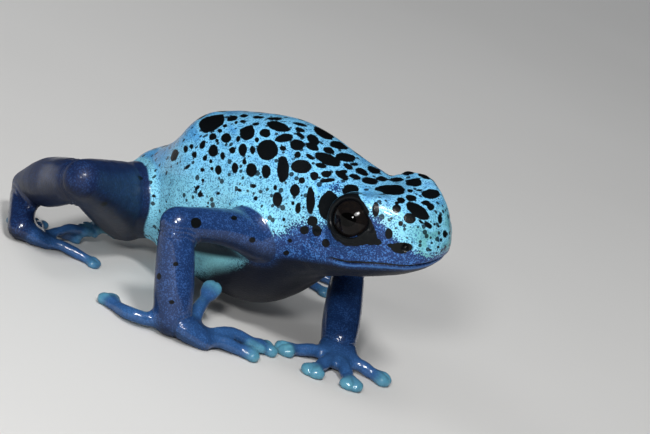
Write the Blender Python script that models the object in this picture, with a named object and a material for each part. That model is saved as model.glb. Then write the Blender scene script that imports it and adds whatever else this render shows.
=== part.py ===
# Blue poison dart frog, a life-size still model in a walking stance on its four feet.
# Z is up, +X is the way the frog faces, and the origin is on the floor under the middle of the figure.
# Sizes and places are in millimetres; mesh_object turns them into metres.

import math

import bmesh
import bpy
from mathutils import Matrix, Vector

MM = 0.001
GAP = 0.3  # between neighbouring pieces

# The body's own frame has its origin midway between the eyes, +X to the snout and +Y to the frog's left.
SNOUT_TO_VENT = 41.5
SNOUT_TO_EYES = 7.7
EYE_LINE = Vector((0.0, 0.0, 18.87))  # the same point over the floor, before the figure is centred
NOSE_UP = math.radians(18.2)
LEFT_SIDE_UP = math.radians(16.0)

# Head and trunk: distance behind the snout tip, then the top, the widest level and the underside over
# the eye line, the half width, and how square the top and the underside are (2 is an ellipse).
BODY_FORM = [
    (0.0, 0.0, -3.3, -5.0, 3.0, 3.0, 2.2),
    (1.0, 0.4, -3.35, -5.4, 3.25, 3.6, 2.2),
    (2.4, 1.1, -3.5, -6.1, 4.2, 4.4, 2.2),
    (3.7, 1.8, -3.6, -6.5, 4.9, 4.8, 2.2),
    (5.7, 2.0, -3.7, -6.95, 5.4, 4.0, 2.2),
    (7.7, 2.0, -3.7, -7.3, 5.9, 3.2, 2.2),
    (10.5, 3.2, -3.4, -7.6, 6.4, 2.4, 2.2),
    (13.5, 4.8, -3.0, -8.1, 6.8, 2.2, 2.2),
    (16.0, 6.2, -2.8, -9.1, 7.2, 2.1, 2.2),
    (19.5, 7.25, -2.9, -11.4, 7.7, 2.1, 2.3),
    (23.0, 7.35, -3.0, -12.4, 8.1, 2.1, 2.3),
    (27.5, 7.1, -3.0, -11.5, 8.1, 2.1, 2.2),
    (30.2, 6.7, -2.6, -10.8, 7.3, 1.9, 2.1),
    (31.6, 5.5, -2.4, -10.5, 6.9, 1.8, 2.1),
    (33.2, 4.1, -2.2, -10.0, 6.6, 1.9, 2.1),
    (35.5, 2.75, -1.9, -8.6, 5.7, 1.9, 2.0),
    (38.5, 1.75, -1.8, -6.5, 4.3, 1.9, 2.0),
    (41.5, 0.6, -1.9, -4.6, 3.0, 2.0, 2.0),
]
SNOUT_ROUNDING = 1.9  # length over which the snout rounds off
VENT_ROUNDING = 3.4
HEAD_LENGTH = 11.9  # from the snout to the seam with the torso
NECK_SLOPE = math.radians(14.0)  # the seam leans forward at its top

# Mouth: the line of the lips is the seam between head and lower jaw.
MOUTH_CORNER_BACK = 10.1  # from the snout tip to the mouth's corner
MOUTH_LEVEL = -4.75  # at the snout
MOUTH_CORNER_LEVEL = -4.3
JAW_HINGE_SLOPE = 3.2  # how far behind the corner the jaw's seam reaches the throat
LIP_INSET = 0.12  # the lower lip sits inside the upper one

EYE_RADIUS = 2.1
EYE_CENTRE = Vector((0.45, 4.35, -0.3))  # the left eye's, in the body's frame
EYE_AXIS = Vector((0.3, 1.0, 0.28)).normalized()  # the left eye looks outward, a little forward and up
LID_OPENING = math.radians(58.0)  # half angle of the open eye
LID_THICKNESS = 0.36
LID_RIM = 0.2  # how thick the lid's rounded edge is
BROW_CENTRE = Vector((1.6, 2.95, -0.5))
BROW_RADII = Vector((3.9, 2.2, 2.5))
NOSTRIL = Vector((5.9, 3.55, -2.6))
NOSTRIL_RADIUS = 0.4
EARDRUM = Vector((-3.1, 6.15, -2.3))
EARDRUM_RADII = Vector((1.1, 0.36, 1.1))

# Fractions along each bone with the half width and the half depth there.
UPPER_ARM_FORM = [(0.0, 2.5, 2.55), (0.3, 2.2, 2.2), (0.62, 1.85, 1.85), (1.0, 1.8, 1.8)]
FOREARM_FORM = [(0.0, 1.8, 1.8), (0.4, 2.0, 2.0), (0.75, 2.05, 2.05), (1.0, 1.9, 1.9)]
PALM_FORM = [(0.0, 1.9, 1.5), (0.5, 2.2, 1.35), (1.0, 1.9, 1.15)]
THIGH_FORM = [(0.0, 3.8, 4.3), (0.25, 3.7, 3.85), (0.65, 3.0, 3.0), (0.88, 2.5, 2.5), (1.0, 2.1, 2.15)]
SHANK_FORM = [(0.0, 2.0, 2.1), (0.3, 2.35, 2.5), (0.6, 2.4, 2.6), (0.83, 1.85, 2.0), (1.0, 1.45, 1.45)]
TARSUS_FORM = [(0.0, 1.45, 1.45), (0.5, 1.5, 1.45), (1.0, 1.45, 1.3)]
SOLE_FORM = [(0.0, 1.5, 1.2), (0.5, 1.8, 1.1), (1.0, 1.8, 0.85)]
FINGER_FORM = [
    (0.0, 0.85, 0.8), (0.35, 0.75, 0.72), (0.6, 0.74, 0.7), (0.8, 0.66, 0.62), (0.9, 1.04, 0.75), (1.0, 1.1, 0.7),
]
TOE_FORM = [
    (0.0, 0.72, 0.7), (0.3, 0.6, 0.58), (0.6, 0.6, 0.58), (0.86, 0.54, 0.5), (0.93, 0.82, 0.52), (1.0, 0.85, 0.45),
]

ARM_SIDES, LEG_SIDES, DIGIT_SIDES, BODY_SIDES = 12, 14, 8, 32

# Colour, roughness and metallic share of each kind of surface.
FINISHES = {
    "back_skin": ((0.12, 0.42, 0.75), 0.35, 0.0),
    "throat_skin": ((0.02, 0.04, 0.16), 0.35, 0.0),
    "limb_skin": ((0.03, 0.07, 0.35), 0.35, 0.0),
    "digit_skin": ((0.05, 0.16, 0.5), 0.35, 0.0),
    "cornea": ((0.01, 0.01, 0.01), 0.08, 0.0),
}

# Digits that don't lie straight on the floor: their middle's lift and bow to the left, and the lift of the tip.
RAISED_DIGITS = {
    "hand_right_finger_1": (1.5, 0.3, 3.4),
    "hand_right_finger_2": (0.5, 0.4, 0.0),
    "hand_right_finger_4": (0.1, 2.2, 0.0),
    "foot_right_toe_3": (0.4, 0.0, 0.0),
    "foot_right_toe_4": (0.9, 0.0, 1.2),
}


def body_to_floor():
    """The body's frame in the figure's: the nose and the left side are up a little."""
    tilt = Matrix.Rotation(-NOSE_UP, 4, "Y") @ Matrix.Rotation(LEFT_SIDE_UP, 4, "X")
    return Matrix.Translation(EYE_LINE) @ tilt


BODY = body_to_floor()

# Joints, in the figure's frame. The right arm and leg are as seen; the left leg is folded like the right.
ARMS = {
    "right": {
        "shoulder": BODY @ Vector((-9.8, -5.2, -4.0)),
        "elbow": Vector((-11.2, -15.2, 11.0)),
        "rise": Vector((-0.22, 0.0, 0.55)),  # how far the upper arm's middle stands off a straight line
        "wrist": Vector((-8.5, -14.0, 1.9)),
        "knuckles": Vector((-6.4, -11.8, 0.95)),
        "fingertips": [(-10.7, -6.8), (-4.2, -3.3), (-3.2, -7.1), (-15.1, -16.1)],
    },
    "left": {
        "shoulder": BODY @ Vector((-8.8, 5.2, -4.9)),
        "elbow": Vector((-9.7, 13.0, 6.6)),
        "rise": Vector((0.0, 0.0, 0.3)),
        "wrist": Vector((-2.8, 6.2, 1.9)),
        "knuckles": Vector((-1.1, 4.6, 0.8)),
        "fingertips": [(-3.9, -0.4), (0.8, -1.2), (3.8, 1.5), (3.0, 7.4)],
    },
}
LEGS = {
    "right": {
        "hip": BODY @ Vector((-31.0, -3.4, -3.2)),
        "knee": Vector((-22.0, -18.3, 10.6)),
        "heel": Vector((-35.5, -10.8, 3.8)),
        "ankle": Vector((-29.9, -15.6, 1.5)),
        "knuckles": Vector((-28.9, -13.2, 0.7)),
        "toetips": [(-33.5, -12.4), (-33.2, -9.3), (-29.9, -7.4), (-29.4, -5.3), (-24.0, -9.9)],
    },
    "left": {
        "hip": BODY @ Vector((-31.0, 3.4, -3.0)),
        "knee": Vector((-20.8, 19.2, 10.2)),
        "heel": Vector((-35.4, 10.2, 4.4)),
        "ankle": Vector((-29.6, 16.0, 1.6)),
        "knuckles": Vector((-27.4, 18.0, 0.7)),
        "toetips": [(-24.2, 14.2), (-20.6, 16.6), (-16.9, 20.6), (-17.0, 26.0), (-23.4, 25.6)],
    },
}


def smooth_row(rows, at):
    """One row of a table at a value of its first column, on a smooth curve through the rows."""
    at = min(max(at, rows[0][0]), rows[-1][0])
    index = next(i for i in range(len(rows) - 1) if at <= rows[i + 1][0])
    low, high = rows[index], rows[index + 1]
    before, after = rows[max(index - 1, 0)], rows[min(index + 2, len(rows) - 1)]
    span = high[0] - low[0]
    t = (at - low[0]) / span
    row = []
    for a, b, c, d in list(zip(before, low, high, after))[1:]:
        slope_low = (c - a) / (high[0] - before[0]) * span
        slope_high = (d - b) / (after[0] - low[0]) * span
        row.append(
            b * (2 * t**3 - 3 * t**2 + 1)
            + c * (3 * t**2 - 2 * t**3)
            + slope_low * (t**3 - 2 * t**2 + t)
            + slope_high * (t**3 - t**2)
        )
    return row


def rounding(distance, length):
    """How far a blunt end has opened, from 0 at its tip to 1 where it is full."""
    share = min(max(distance / length, 0.0), 1.0)
    return math.sqrt(1.0 - (1.0 - share) ** 2)


def stops(total, start_round, end_round, steps, cap_steps):
    """Places for the rings of a closed form, closer together where its two ends round off."""
    turns = [math.pi / 2 * (i + 0.5) / (cap_steps + 0.5) for i in range(cap_steps)]
    first = [start_round * (1 - math.cos(turn)) for turn in turns]
    last = [total - end_round * (1 - math.cos(turn)) for turn in reversed(turns)]
    span = total - start_round - end_round
    return first + [start_round + span * i / steps for i in range(steps + 1)] + last


def curved_section(across, above, below, square_above, square_below, sides):
    """Points of a rounded section as (sideways, upward), with its own curve above and below."""
    points = []
    for i in range(sides):
        turn = 2 * math.pi * i / sides
        c, s = math.cos(turn), math.sin(turn)
        power = 2 / (square_above if s >= 0 else square_below)
        height = above if s >= 0 else below
        points.append((
            across * math.copysign(abs(c) ** power, c),
            height * math.copysign(abs(s) ** power, s),
        ))
    return points


def facing_out(mesh):
    bmesh.ops.recalc_face_normals(mesh, faces=mesh.faces)
    if mesh.calc_volume(signed=True) < 0:
        bmesh.ops.reverse_faces(mesh, faces=mesh.faces)
    return mesh


def closed_mesh(rings, start, end):
    """A closed surface over rings of points, with a tip point at each end."""
    mesh = bmesh.new()
    loops = [[mesh.verts.new(p) for p in ring] for ring in rings]
    tips = mesh.verts.new(start), mesh.verts.new(end)
    sides = len(rings[0])
    for i in range(sides):
        j = (i + 1) % sides
        for near, far in zip(loops, loops[1:]):
            mesh.faces.new((near[i], near[j], far[j], far[i]))
        mesh.faces.new((tips[0], loops[0][j], loops[0][i]))
        mesh.faces.new((tips[1], loops[-1][i], loops[-1][j]))
    return facing_out(mesh)


def mesh_object(name, mesh):
    """A named object from a bmesh in millimetres."""
    data = bpy.data.meshes.new(name)
    bmesh.ops.scale(mesh, vec=(MM, MM, MM), verts=mesh.verts)
    bmesh.ops.triangulate(mesh, faces=mesh.faces)
    mesh.to_mesh(data)
    mesh.free()
    data.shade_smooth()
    thing = bpy.data.objects.new(name, data)
    bpy.context.scene.collection.objects.link(thing)
    return thing


def helper(name, mesh):
    """A cutter or a piece to be joined, which isn't a node."""
    thing = mesh_object(name, mesh)
    thing.hide_render = True
    thing.display_type = "WIRE"
    return thing


def remove(things):
    for thing in things:
        bpy.data.objects.remove(thing)


def bake(thing):
    """Applies an object's modifiers and keeps the largest closed surface."""
    graph = bpy.context.evaluated_depsgraph_get()
    made = bpy.data.meshes.new_from_object(thing.evaluated_get(graph))
    thing.modifiers.clear()
    mesh = bmesh.new()
    mesh.from_mesh(made)
    left = set(mesh.verts)
    islands = []
    while left:
        island, edge = set(), [left.pop()]
        while edge:
            point = edge.pop()
            island.add(point)
            near = {e.other_vert(point) for e in point.link_edges} & left
            left -= near
            edge.extend(near)
        islands.append(island)
    largest = max(islands, key=len)
    bmesh.ops.delete(mesh, geom=[v for v in mesh.verts if v not in largest], context="VERTS")
    bmesh.ops.triangulate(mesh, faces=mesh.faces)
    mesh.to_mesh(made)
    mesh.free()
    made.shade_smooth()
    thing.data = made


def boolean(thing, others, operation):
    """Cuts the others from a piece, joins them to it, or keeps what they share, and removes them."""
    for other in others:
        step = thing.modifiers.new(operation.title(), "BOOLEAN")
        step.operation = operation
        step.solver = "EXACT"
        step.object = other
        bake(thing)
    remove(others)


def body_mesh(grow=0.0, first=0.0, last=SNOUT_TO_VENT):
    """Head and trunk in one closed form, or a length of it, grown outward by a distance."""
    begin, finish = first - grow, last + grow
    start_round = SNOUT_ROUNDING if first == 0.0 else 0.001
    places = stops(finish - begin, start_round, VENT_ROUNDING, 30, 5)
    rings, centres = [], []
    for place in places:
        back = begin + place
        top, middle, bottom, width, square_top, square_bottom = smooth_row(BODY_FORM, back)
        open_share = rounding(place, SNOUT_ROUNDING + grow) * rounding(finish - back, VENT_ROUNDING + grow)
        section = curved_section(
            width * open_share + grow * open_share,
            (top - middle + grow) * open_share,
            (middle - bottom + grow) * open_share,
            square_top, square_bottom, BODY_SIDES,
        )
        centre = Vector((SNOUT_TO_EYES - back, 0.0, middle))
        rings.append([BODY @ (centre + Vector((0.0, y, z))) for y, z in section])
        centres.append(centre)
    start = BODY @ Vector((SNOUT_TO_EYES - begin, 0.0, centres[0].z))
    end = BODY @ Vector((SNOUT_TO_EYES - finish, 0.0, centres[-1].z))
    return closed_mesh(rings, start, end)


def slab(outline, half_width):
    """A prism across the body from an outline of (forward, upward) points in the body's frame."""
    mesh = bmesh.new()
    near = [mesh.verts.new(BODY @ Vector((x, -half_width, z))) for x, z in outline]
    far = [mesh.verts.new(BODY @ Vector((x, half_width, z))) for x, z in outline]
    mesh.faces.new(near)
    mesh.faces.new(reversed(far))
    for i in range(len(outline)):
        j = (i + 1) % len(outline)
        mesh.faces.new((near[j], near[i], far[i], far[j]))
    return facing_out(mesh)


def neck_outline(gap):
    """Everything behind the neck's seam, moved back by a gap."""
    lean = math.tan(NECK_SLOPE)
    seam = SNOUT_TO_EYES - HEAD_LENGTH - gap
    reach = 20.0
    return [(seam + reach * lean, reach), (seam - reach * lean, -reach), (-60.0, -reach), (-60.0, reach)]


def jaw_outline(gap):
    """Everything under the lips and in front of the jaw's hinge, drawn in by a gap."""
    front = SNOUT_TO_EYES + 5.0
    corner = SNOUT_TO_EYES - MOUTH_CORNER_BACK + gap
    throat = corner - JAW_HINGE_SLOPE
    return [
        (front, MOUTH_LEVEL - gap),
        (corner, MOUTH_CORNER_LEVEL - gap),
        (throat, -14.0),
        (front, -14.0),
    ]


def along(axis):
    return axis.to_track_quat("Z", "X").to_matrix().to_4x4()


def ball(centre, radii, axes, segments=20, rings=12):
    """A ball or an ellipsoid, its poles along the last of the given axes."""
    mesh = bmesh.new()
    bmesh.ops.create_uvsphere(mesh, u_segments=segments, v_segments=rings, radius=1.0)
    mesh.transform(Matrix.Translation(centre) @ axes.to_4x4() @ Matrix.Diagonal((*radii, 1.0)))
    return mesh


def eyelids(centre, radius, axis, opening, segments=24, rings=7):
    """A ball with the cap round its axis cut off, and a rounded rim at the cut."""
    turn = along(axis)
    rim = LID_RIM / radius
    profile = [(opening - rim, radius - 3 * LID_RIM), (opening - rim, radius - 0.5 * LID_RIM)]
    profile += [(opening - 0.4 * rim, radius + 0.2 * LID_RIM), (opening + rim, radius + 0.3 * LID_RIM)]
    first = opening + 2.5 * rim
    profile += [(first + (math.pi - first) * i / rings, radius) for i in range(rings)]
    loops = []
    for angle, out in profile:
        across, ahead = out * math.sin(angle), out * math.cos(angle)
        turns = [2 * math.pi * j / segments for j in range(segments)]
        loops.append([
            centre + turn @ Vector((across * math.cos(a), across * math.sin(a), ahead)) for a in turns
        ])
    cap = profile[0][1] * math.cos(profile[0][0])
    return closed_mesh(loops, centre + axis * cap, centre - axis * radius)


def mirrored(point, side):
    """A point of the left side, or its twin on the right."""
    return Vector((point.x, point.y if side == "left" else -point.y, point.z))


def turned(direction, side):
    return (BODY.to_3x3() @ mirrored(direction, side)).normalized()


def path_points(joints, count):
    """Evenly numbered points on a smooth curve through the joints."""
    if len(joints) == 2:
        return [joints[0].lerp(joints[1], i / (count - 1)) for i in range(count)]
    rows, length = [], 0.0
    for i, joint in enumerate(joints):
        length += (joint - joints[i - 1]).length if i else 0.0
        rows.append((length, *joint))
    return [Vector(smooth_row(rows, length * i / (count - 1))) for i in range(count)]


def limb_mesh(joints, form, sides, grow=0.0, steps=7, cap_steps=3, on_floor=False):
    """A tube over a bone with rounded ends that reach past its joints by their own half width."""
    fine = path_points(joints, 33)
    start_size = form[0][1] + grow
    end_size = form[-1][1] + grow
    start = fine[0] + (fine[0] - fine[1]).normalized() * start_size
    end = fine[-1] + (fine[-1] - fine[-2]).normalized() * end_size
    line = [start, *fine, end]
    marks, length = [(0.0, *line[0])], 0.0
    for a, b in zip(line, line[1:]):
        length += (b - a).length
        marks.append((length, *b))
    bone = length - start_size - end_size
    rings = []
    for place in stops(length, start_size, end_size, steps, cap_steps):
        centre = Vector(smooth_row(marks, place))
        ahead = Vector(smooth_row(marks, min(place + 0.05, length)))
        behind = Vector(smooth_row(marks, max(place - 0.05, 0.0)))
        along = (ahead - behind).normalized()
        side = along.cross(Vector((0.0, 0.0, 1.0))).normalized()
        over = side.cross(along)
        half_width, half_depth = smooth_row(form, (place - start_size) / bone)
        open_share = rounding(place, start_size) * rounding(length - place, end_size)
        ring = []
        for i in range(sides):
            turn = 2 * math.pi * (i + 0.5) / sides
            offset = side * math.cos(turn) * (half_width + grow) + over * math.sin(turn) * (half_depth + grow)
            ring.append(centre + offset * open_share)
        rings.append(ring)
    if on_floor:
        for ring in rings:
            for point in ring:
                point.z = max(point.z, -grow)
        start.z, end.z = max(start.z, 0.1), max(end.z, 0.1)
    return closed_mesh(rings, start, end)


def paint(thing, finish):
    """Gives a piece its own material."""
    colour, roughness, metallic = FINISHES[finish]
    made = bpy.data.materials.new(f"{thing.name}_{finish}")
    made.use_nodes = True
    shader = made.node_tree.nodes["Principled BSDF"]
    shader.inputs["Base Color"].default_value = (*colour, 1.0)
    shader.inputs["Roughness"].default_value = roughness
    shader.inputs["Metallic"].default_value = metallic
    thing.data.materials.clear()
    thing.data.materials.append(made)


def make_head():
    """Head and lower jaw, with brows, eyelids, eardrums and nostrils on the head."""
    head = mesh_object("head", body_mesh())
    features, hollows = [], []
    frame = BODY.to_3x3()
    for side in ("left", "right"):
        axis = turned(EYE_AXIS, side)
        eye = BODY @ mirrored(EYE_CENTRE, side)
        socket = EYE_RADIUS + GAP
        features.append(helper("brow", ball(BODY @ mirrored(BROW_CENTRE, side), BROW_RADII, frame)))
        features.append(helper("lids", eyelids(eye, socket + LID_THICKNESS, axis, LID_OPENING)))
        features.append(helper("eardrum", ball(BODY @ mirrored(EARDRUM, side), EARDRUM_RADII, frame, 16, 8)))
        hollows.append(helper("socket", ball(eye, (socket,) * 3, along(axis), 24, 14)))
        hollows.append(helper("nostril", ball(BODY @ mirrored(NOSTRIL, side), (NOSTRIL_RADIUS,) * 3, frame, 10, 6)))
    boolean(head, [helper("neck", slab(neck_outline(0.0), 20.0))], "DIFFERENCE")
    boolean(head, features, "UNION")
    boolean(head, hollows, "DIFFERENCE")
    boolean(head, [helper("mouth", slab(jaw_outline(0.0), 20.0))], "DIFFERENCE")
    jaw = mesh_object("lower_jaw", body_mesh(grow=-LIP_INSET))
    boolean(jaw, [helper("jaw_limits", slab(jaw_outline(GAP), 20.0))], "INTERSECT")
    boolean(jaw, [helper("neck", slab(neck_outline(-GAP), 20.0))], "DIFFERENCE")
    paint(head, "back_skin")
    paint(jaw, "throat_skin")


def make_eyes():
    for side in ("left", "right"):
        axes = along(turned(EYE_AXIS, side))
        eye = mesh_object("eye_" + side, ball(BODY @ mirrored(EYE_CENTRE, side), (EYE_RADIUS,) * 3, axes, 18, 11))
        paint(eye, "cornea")


def make_torso():
    torso = mesh_object("torso", body_mesh())
    boolean(torso, [helper("trunk_limits", slab(neck_outline(GAP), 20.0))], "INTERSECT")
    paint(torso, "back_skin")


def room(shape):
    """A cutter that clears a gap round a limb's piece."""
    joints, form, sides, on_floor = shape
    return helper("room", limb_mesh(joints, form, sides, grow=GAP, on_floor=on_floor))


def make_limb(pieces):
    """The pieces of one limb from its root outward. Each is cut clear of the body and of those before it."""
    before = []
    for name, joints, form, sides, on_floor in pieces:
        piece = mesh_object(name, limb_mesh(joints, form, sides, on_floor=on_floor))
        boolean(piece, [helper("room", body_mesh(grow=GAP))], "DIFFERENCE")
        for shape in before[-2:]:
            boolean(piece, [room(shape)], "DIFFERENCE")
        paint(piece, "limb_skin")
        before.append((joints, form, sides, on_floor))
    return before[-2:]


def make_digits(stem, limb, tips, form, rise):
    """Fingers or toes in a fan round the palm or sole, each with its pad flat on the floor."""
    (start, knuckles), palm_form = limb[-1][:2]
    forward = (knuckles - start).normalized()
    middle = start.lerp(knuckles, 0.5)
    before = list(limb)
    for i, tip in enumerate(tips):
        end = Vector((*tip, form[-1][2] * 0.8))
        root = start.lerp(knuckles, 0.55 + 0.45 * forward.dot((end - middle).normalized()))
        root.z = form[0][2] + rise
        base = root + (end - root).normalized() * palm_form[-1][1] * 0.5
        bend, pad = base.lerp(end, 0.42), base.lerp(end, 0.75)
        lift, bow, tip_lift = RAISED_DIGITS.get(f"{stem}_{i + 1}", (0.0, 0.0, 0.0))
        sideways = Vector((0.0, 0.0, 1.0)).cross(end - base).normalized()
        bend += sideways * bow
        pad += sideways * bow * 0.6
        bend.z = form[1][2] + rise + lift
        pad.z = form[3][2] + rise * 0.25 + 0.4 * lift + 0.5 * tip_lift
        end.z += tip_lift
        joints = [base, bend, pad, end]
        digit = mesh_object(
            f"{stem}_{i + 1}", limb_mesh(joints, form, DIGIT_SIDES, steps=9, cap_steps=2, on_floor=True)
        )
        for shape in before:
            boolean(digit, [room(shape)], "DIFFERENCE")
        paint(digit, "digit_skin")
        before.append((joints, form, DIGIT_SIDES, True))


def make_arm(side):
    joints = ARMS[side]
    middle = joints["shoulder"].lerp(joints["elbow"], 0.5) + joints["rise"]
    limb = make_limb([
        (f"arm_{side}_upper", [joints["shoulder"], middle, joints["elbow"]], UPPER_ARM_FORM, ARM_SIDES, False),
        (f"arm_{side}_fore", [joints["elbow"], joints["wrist"]], FOREARM_FORM, ARM_SIDES, False),
        (f"hand_{side}", [joints["wrist"], joints["knuckles"]], PALM_FORM, ARM_SIDES, True),
    ])
    make_digits(f"hand_{side}_finger", limb, joints["fingertips"], FINGER_FORM, 0.25)


def make_leg(side):
    joints = LEGS[side]
    limb = make_limb([
        (f"leg_{side}_thigh", [joints["hip"], joints["knee"]], THIGH_FORM, LEG_SIDES, False),
        (f"leg_{side}_shank", [joints["knee"], joints["heel"]], SHANK_FORM, LEG_SIDES, False),
        (f"leg_{side}_tarsus", [joints["heel"], joints["ankle"]], TARSUS_FORM, ARM_SIDES, False),
        (f"foot_{side}", [joints["ankle"], joints["knuckles"]], SOLE_FORM, ARM_SIDES, True),
    ])
    make_digits(f"foot_{side}_toe", limb, joints["toetips"], TOE_FORM, 0.2)


def centre_on_floor():
    """Moves every piece so that the origin is on the floor under the middle of the figure."""
    things = list(bpy.context.scene.objects)
    points = [v.co for thing in things for v in thing.data.vertices]
    middle_x = (min(p.x for p in points) + max(p.x for p in points)) / 2
    middle_y = (min(p.y for p in points) + max(p.y for p in points)) / 2
    floor = min(p.z for p in points)
    for thing in things:
        thing.data.transform(Matrix.Translation((-middle_x, -middle_y, -floor)))


def main():
    for thing in list(bpy.data.objects):
        bpy.data.objects.remove(thing)
    make_head()
    make_eyes()
    make_torso()
    for side in ("right", "left"):
        make_arm(side)
        make_leg(side)
    centre_on_floor()


main()
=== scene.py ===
# The skin, eyes and setting of the blue poison dart frog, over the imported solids.
# Lengths are in millimetres until a mesh is made, and most places are in the body's own frame:
# +X to the snout, +Y to the frog's left, and the origin between the eyes.

import math
import time

import bpy
import numpy as np
from mathutils import Matrix, Vector, noise
from mathutils.bvhtree import BVHTree


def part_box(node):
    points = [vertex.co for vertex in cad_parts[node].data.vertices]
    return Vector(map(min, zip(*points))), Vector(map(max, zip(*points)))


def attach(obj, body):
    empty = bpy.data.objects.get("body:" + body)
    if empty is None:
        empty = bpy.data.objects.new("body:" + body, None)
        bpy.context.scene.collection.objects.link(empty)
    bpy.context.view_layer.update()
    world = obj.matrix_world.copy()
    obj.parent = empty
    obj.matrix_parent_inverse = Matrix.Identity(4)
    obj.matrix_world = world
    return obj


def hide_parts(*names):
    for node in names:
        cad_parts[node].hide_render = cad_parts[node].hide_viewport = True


started = time.time()
mm = 0.001


def stage(text):
    print(f"[{time.time() - started:5.1f} s] {text}")


def unit(vector):
    return vector / np.linalg.norm(vector)


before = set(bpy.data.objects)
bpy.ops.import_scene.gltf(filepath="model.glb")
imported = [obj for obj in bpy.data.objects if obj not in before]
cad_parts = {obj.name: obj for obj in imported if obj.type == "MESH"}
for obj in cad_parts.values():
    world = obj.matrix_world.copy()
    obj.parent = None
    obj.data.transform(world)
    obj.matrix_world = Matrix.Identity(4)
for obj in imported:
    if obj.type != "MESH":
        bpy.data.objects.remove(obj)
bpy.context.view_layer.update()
stage("frame loaded")


# How the body is carried over the floor. The eyeballs give its place.
stance = {
    "noseUp": 18.2,  # degrees
    "leftSideUp": 16.0,
    "eyeMiddle": (0.45, 0.0, -0.3),  # the point midway between the eyeballs
}


def bodyAxes():
    tilt = Matrix.Rotation(math.radians(-stance["noseUp"]), 3, "Y")
    return np.array(tilt @ Matrix.Rotation(math.radians(stance["leftSideUp"]), 3, "X"))


def nodeMiddle(name):
    low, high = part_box(name)
    return np.array((low + high) / 2) / mm


axes = bodyAxes()  # its columns are the body's axes over the floor
origin = (nodeMiddle("eye_left") + nodeMiddle("eye_right")) / 2 - axes @ np.array(stance["eyeMiddle"])


def toBody(points):
    return (np.asarray(points) - origin) @ axes


def toFloor(points):
    return np.asarray(points) @ axes.T + origin


# The photograph's angle, turned with the animal on to the level floor.
camera = {
    "place": (183.176, -261.374, 84.04),  # from the body's origin
    "right": (0.699, 0.624, 0.350),
    "back": (0.565, -0.782, 0.264),
    "focal": 3300.0,  # in pixels of the frame
    "frameMiddle": (325.0, 217.0),
    "frameWidth": 650.0,
    "sensor": 36.0,
    "clip": (0.02, 5.0),  # metres
}


def lookAxes():
    back, right = unit(np.array(camera["back"])), np.array(camera["right"])
    right = unit(right - back * (right @ back))
    return np.array([right, np.cross(back, right), back])


lookRows = lookAxes()
lookFrom = origin + np.array(camera["place"])


def linked(name, data):
    thing = bpy.data.objects.new(name, data)
    bpy.context.scene.collection.objects.link(thing)
    return thing


def makeCamera():
    data = bpy.data.cameras.new("photoCamera")
    data.sensor_width = camera["sensor"]
    data.lens = camera["focal"] * camera["sensor"] / camera["frameWidth"]
    data.clip_start, data.clip_end = camera["clip"]
    thing = linked("photoCamera", data)
    turn = Matrix(lookRows.tolist()).transposed().to_4x4()
    thing.matrix_world = Matrix.Translation((lookFrom * mm).tolist()) @ turn
    bpy.context.scene.camera = thing


def inFrame(points):
    seen = (points - lookFrom) @ lookRows.T
    middle = camera["frameMiddle"]
    scale = camera["focal"] / -seen[:, 2]
    return np.stack([middle[0] + seen[:, 0] * scale, middle[1] - seen[:, 1] * scale], axis=1)


def frameRay(u, v):
    middle = camera["frameMiddle"]
    ray = np.array([u - middle[0], middle[1] - v, -camera["focal"]]) @ lookRows
    return Vector(lookFrom.tolist()), Vector(unit(ray).tolist())


makeCamera()


# Small helpers on fields over a mesh.
def smoothStep(low, high, value):
    share = np.clip((value - low) / (high - low), 0, 1)
    return share * share * (3 - 2 * share)


def ridge(value, width):
    return np.exp(-((value / width) ** 2))


def lengths(rows):
    return np.sqrt((rows * rows).sum(axis=1))


def pointNormals(points, faces, flat):
    # The faces' directions, summed at each point and brought to length one.
    total = np.zeros_like(points)
    for column in range(3):
        for corner in range(faces.shape[1]):
            total[:, column] += np.bincount(faces[:, corner], weights=flat[:, column], minlength=len(points))
    return total / np.maximum(lengths(total), 1e-12)[:, None]


class Surface:
    # Points and faces of one closed skin, with its neighbours for smoothing.
    def __init__(self, points, faces, edges):
        self.points = points
        self.faces = faces
        self.ends = np.concatenate([edges[:, 0], edges[:, 1]])
        self.others = np.concatenate([edges[:, 1], edges[:, 0]])
        self.count = np.maximum(np.bincount(self.ends, minlength=len(points)), 1)

    def averaged(self, values):
        if values.ndim == 1:
            total = np.bincount(self.ends, weights=values[self.others], minlength=len(values))
            return total / self.count
        return np.stack([self.averaged(values[:, i]) for i in range(values.shape[1])], axis=1)

    def blurred(self, values, rounds, share=1.0):
        for _ in range(rounds):
            values = values + (self.averaged(values) - values) * share
        return values

    def normals(self):
        corners = self.points[self.faces]
        flat = np.cross(corners[:, 2] - corners[:, 0], corners[:, 3] - corners[:, 1])
        return pointNormals(self.points, self.faces, flat)


# The skin's making: it grows out over the seams, is remeshed and smoothed, and shrinks back.
skinForm = {
    "overSeams": 0.34,  # how far each solid grows before they fuse
    "overDigitSeams": 0.2,
    "grain": 0.15,  # size of the skin's squares
    "blendRounds": 25,  # over which one region's share fades into the next
    "rounds": 90,  # of smoothing, where the share is 1
    "step": 0.8,  # how far a point goes to its neighbours' middle in a round
    "restoreRounds": 60,  # that even out the depth lost, before it is given back
    "shares": {
        "trunk": 1.0, "head": 0.45, "upperArm": 0.5, "foreArm": 0.5, "hand": 0.13, "finger": 0.13,
        "thigh": 0.5, "shank": 0.5, "tarsus": 0.5, "foot": 0.13, "toe": 0.13,
    },
    "lidShare": 0.1,
    "lidReach": (2.9, 4.2),  # from the eye's middle, where the lids' share fades out
    "nostrilShare": 0.3,
    "nostrilReach": (0.6, 1.4),
    "rootRounds": 150,  # more, where a limb leaves the trunk
    "knuckleRounds": 45,  # and where the digits leave a hand or foot
    "meetingRounds": 12,  # that widen such a meeting
    "meetingFade": (0.05, 0.5),
}

fleshNodes = sorted(set(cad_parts) - {"eye_left", "eye_right"})


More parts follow.
